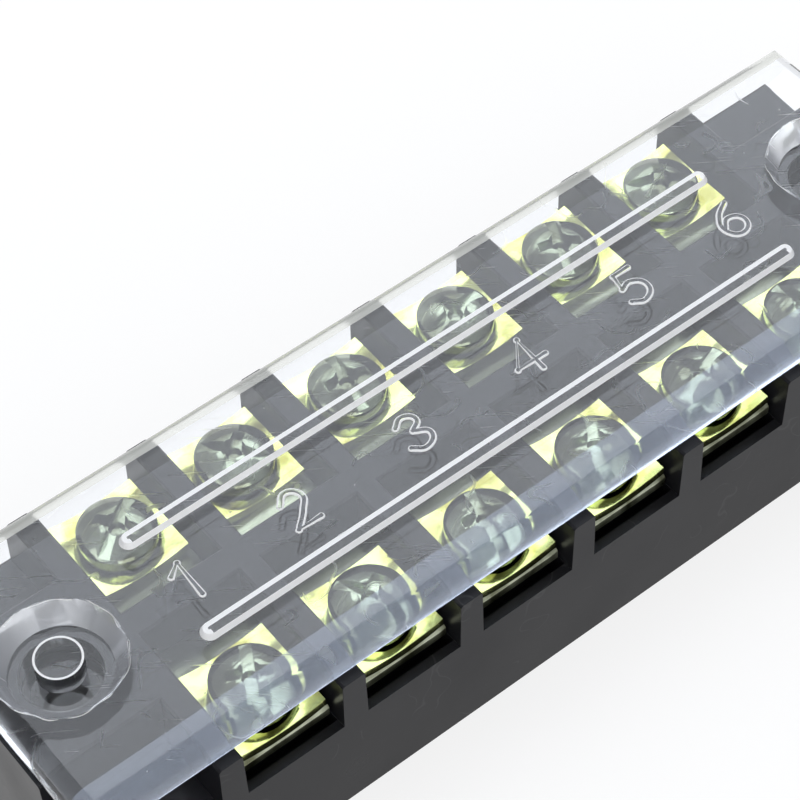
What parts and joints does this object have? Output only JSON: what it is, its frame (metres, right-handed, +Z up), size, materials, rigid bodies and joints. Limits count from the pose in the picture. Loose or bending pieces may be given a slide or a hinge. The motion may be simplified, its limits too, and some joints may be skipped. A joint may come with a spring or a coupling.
{
  "type": "barrier terminal strip",
  "caption": "Double-row barrier terminal strip with open wire entries, screws with square clamp washers, and a clear numbered push-on cover.",
  "frame": {"origin": "middle of the underside of the base", "axes": "+X along the strip towards the highest pole number, +Y across it to the rear row, +Z up to the cover"},
  "size_m": [0.0714, 0.022, 0.015],
  "materials": {
    "black_plastic": "satin moulded",
    "clear_plastic": "clear polished",
    "conductor_brass": "plated, sheared edges",
    "washer_steel": "yellow passivated",
    "screw_steel": "pale yellow-green passivated"
  },
  "bodies": {
    "base": {"base": "black_plastic", "conductor_1": "conductor_brass", "conductor_2": "conductor_brass", "conductor_3": "conductor_brass", "conductor_4": "conductor_brass", "conductor_5": "conductor_brass", "conductor_6": "conductor_brass"},
    "cover": {"cover": "clear_plastic"},
    "washer_front_1": {"washer_front_1": "washer_steel"},
    "screw_front_1": {"screw_front_1": "screw_steel"},
    "washer_front_2": {"washer_front_2": "washer_steel"},
    "screw_front_2": {"screw_front_2": "screw_steel"},
    "washer_front_3": {"washer_front_3": "washer_steel"},
    "screw_front_3": {"screw_front_3": "screw_steel"},
    "washer_front_4": {"washer_front_4": "washer_steel"},
    "screw_front_4": {"screw_front_4": "screw_steel"},
    "washer_front_5": {"washer_front_5": "washer_steel"},
    "screw_front_5": {"screw_front_5": "screw_steel"},
    "washer_front_6": {"washer_front_6": "washer_steel"},
    "screw_front_6": {"screw_front_6": "screw_steel"},
    "washer_rear_1": {"washer_rear_1": "washer_steel"},
    "screw_rear_1": {"screw_rear_1": "screw_steel"},
    "washer_rear_2": {"washer_rear_2": "washer_steel"},
    "screw_rear_2": {"screw_rear_2": "screw_steel"},
    "washer_rear_3": {"washer_rear_3": "washer_steel"},
    "screw_rear_3": {"screw_rear_3": "screw_steel"},
    "washer_rear_4": {"washer_rear_4": "washer_steel"},
    "screw_rear_4": {"screw_rear_4": "screw_steel"},
    "washer_rear_5": {"washer_rear_5": "washer_steel"},
    "screw_rear_5": {"screw_rear_5": "screw_steel"},
    "washer_rear_6": {"washer_rear_6": "washer_steel"},
    "screw_rear_6": {"screw_rear_6": "screw_steel"}
  },
  "joints": [
    {"name": "cover_lift", "type": "slide", "parent": "base", "child": "cover", "axis": [0, 0, 1], "range_m": [0, 0.015]},
    {"name": "lift_front_1", "type": "slide", "parent": "base", "child": "washer_front_1", "axis": [0, 0, 1], "range_m": [0, 0.0004]},
    {"name": "turn_front_1", "type": "hinge", "parent": "washer_front_1", "child": "screw_front_1", "pos_m": [-0.022, -0.0068, 0.01065], "axis": [0, 0, 1], "range_deg": [0, 290]},
    {"name": "lift_front_2", "type": "slide", "parent": "base", "child": "washer_front_2", "axis": [0, 0, 1], "range_m": [0, 0.0004]},
    {"name": "turn_front_2", "type": "hinge", "parent": "washer_front_2", "child": "screw_front_2", "pos_m": [-0.0132, -0.0068, 0.01065], "axis": [0, 0, 1], "range_deg": [0, 290]},
    {"name": "lift_front_3", "type": "slide", "parent": "base", "child": "washer_front_3", "axis": [0, 0, 1], "range_m": [0, 0.0004]},
    {"name": "turn_front_3", "type": "hinge", "parent": "washer_front_3", "child": "screw_front_3", "pos_m": [-0.0044, -0.0068, 0.01065], "axis": [0, 0, 1], "range_deg": [0, 290]},
    {"name": "lift_front_4", "type": "slide", "parent": "base", "child": "washer_front_4", "axis": [0, 0, 1], "range_m": [0, 0.0004]},
    {"name": "turn_front_4", "type": "hinge", "parent": "washer_front_4", "child": "screw_front_4", "pos_m": [0.0044, -0.0068, 0.01065], "axis": [0, 0, 1], "range_deg": [0, 290]},
    {"name": "lift_front_5", "type": "slide", "parent": "base", "child": "washer_front_5", "axis": [0, 0, 1], "range_m": [0, 0.0004]},
    {"name": "turn_front_5", "type": "hinge", "parent": "washer_front_5", "child": "screw_front_5", "pos_m": [0.0132, -0.0068, 0.01065], "axis": [0, 0, 1], "range_deg": [0, 290]},
    {"name": "lift_front_6", "type": "slide", "parent": "base", "child": "washer_front_6", "axis": [0, 0, 1], "range_m": [0, 0.0004]},
    {"name": "turn_front_6", "type": "hinge", "parent": "washer_front_6", "child": "screw_front_6", "pos_m": [0.022, -0.0068, 0.01065], "axis": [0, 0, 1], "range_deg": [0, 290]},
    {"name": "lift_rear_1", "type": "slide", "parent": "base", "child": "washer_rear_1", "axis": [0, 0, 1], "range_m": [0, 0.0004]},
    {"name": "turn_rear_1", "type": "hinge", "parent": "washer_rear_1", "child": "screw_rear_1", "pos_m": [-0.022, 0.0068, 0.01065], "axis": [0, 0, 1], "range_deg": [0, 290]},
    {"name": "lift_rear_2", "type": "slide", "parent": "base", "child": "washer_rear_2", "axis": [0, 0, 1], "range_m": [0, 0.0004]},
    {"name": "turn_rear_2", "type": "hinge", "parent": "washer_rear_2", "child": "screw_rear_2", "pos_m": [-0.0132, 0.0068, 0.01065], "axis": [0, 0, 1], "range_deg": [0, 290]},
    {"name": "lift_rear_3", "type": "slide", "parent": "base", "child": "washer_rear_3", "axis": [0, 0, 1], "range_m": [0, 0.0004]},
    {"name": "turn_rear_3", "type": "hinge", "parent": "washer_rear_3", "child": "screw_rear_3", "pos_m": [-0.0044, 0.0068, 0.01065], "axis": [0, 0, 1], "range_deg": [0, 290]},
    {"name": "lift_rear_4", "type": "slide", "parent": "base", "child": "washer_rear_4", "axis": [0, 0, 1], "range_m": [0, 0.0004]},
    {"name": "turn_rear_4", "type": "hinge", "parent": "washer_rear_4", "child": "screw_rear_4", "pos_m": [0.0044, 0.0068, 0.01065], "axis": [0, 0, 1], "range_deg": [0, 290]},
    {"name": "lift_rear_5", "type": "slide", "parent": "base", "child": "washer_rear_5", "axis": [0, 0, 1], "range_m": [0, 0.0004]},
    {"name": "turn_rear_5", "type": "hinge", "parent": "washer_rear_5", "child": "screw_rear_5", "pos_m": [0.0132, 0.0068, 0.01065], "axis": [0, 0, 1], "range_deg": [0, 290]},
    {"name": "lift_rear_6", "type": "slide", "parent": "base", "child": "washer_rear_6", "axis": [0, 0, 1], "range_m": [0, 0.0004]},
    {"name": "turn_rear_6", "type": "hinge", "parent": "washer_rear_6", "child": "screw_rear_6", "pos_m": [0.022, 0.0068, 0.01065], "axis": [0, 0, 1], "range_deg": [0, 290]}
  ],
  "couplings": [
    {"joint": "turn_front_1", "follows": "lift_front_1", "rad_per_m": 12566},
    {"joint": "turn_front_2", "follows": "lift_front_2", "rad_per_m": 12566},
    {"joint": "turn_front_3", "follows": "lift_front_3", "rad_per_m": 12566},
    {"joint": "turn_front_4", "follows": "lift_front_4", "rad_per_m": 12566},
    {"joint": "turn_front_5", "follows": "lift_front_5", "rad_per_m": 12566},
    {"joint": "turn_front_6", "follows": "lift_front_6", "rad_per_m": 12566},
    {"joint": "turn_rear_1", "follows": "lift_rear_1", "rad_per_m": 12566},
    {"joint": "turn_rear_2", "follows": "lift_rear_2", "rad_per_m": 12566},
    {"joint": "turn_rear_3", "follows": "lift_rear_3", "rad_per_m": 12566},
    {"joint": "turn_rear_4", "follows": "lift_rear_4", "rad_per_m": 12566},
    {"joint": "turn_rear_5", "follows": "lift_rear_5", "rad_per_m": 12566},
    {"joint": "turn_rear_6", "follows": "lift_rear_6", "rad_per_m": 12566}
  ]
}
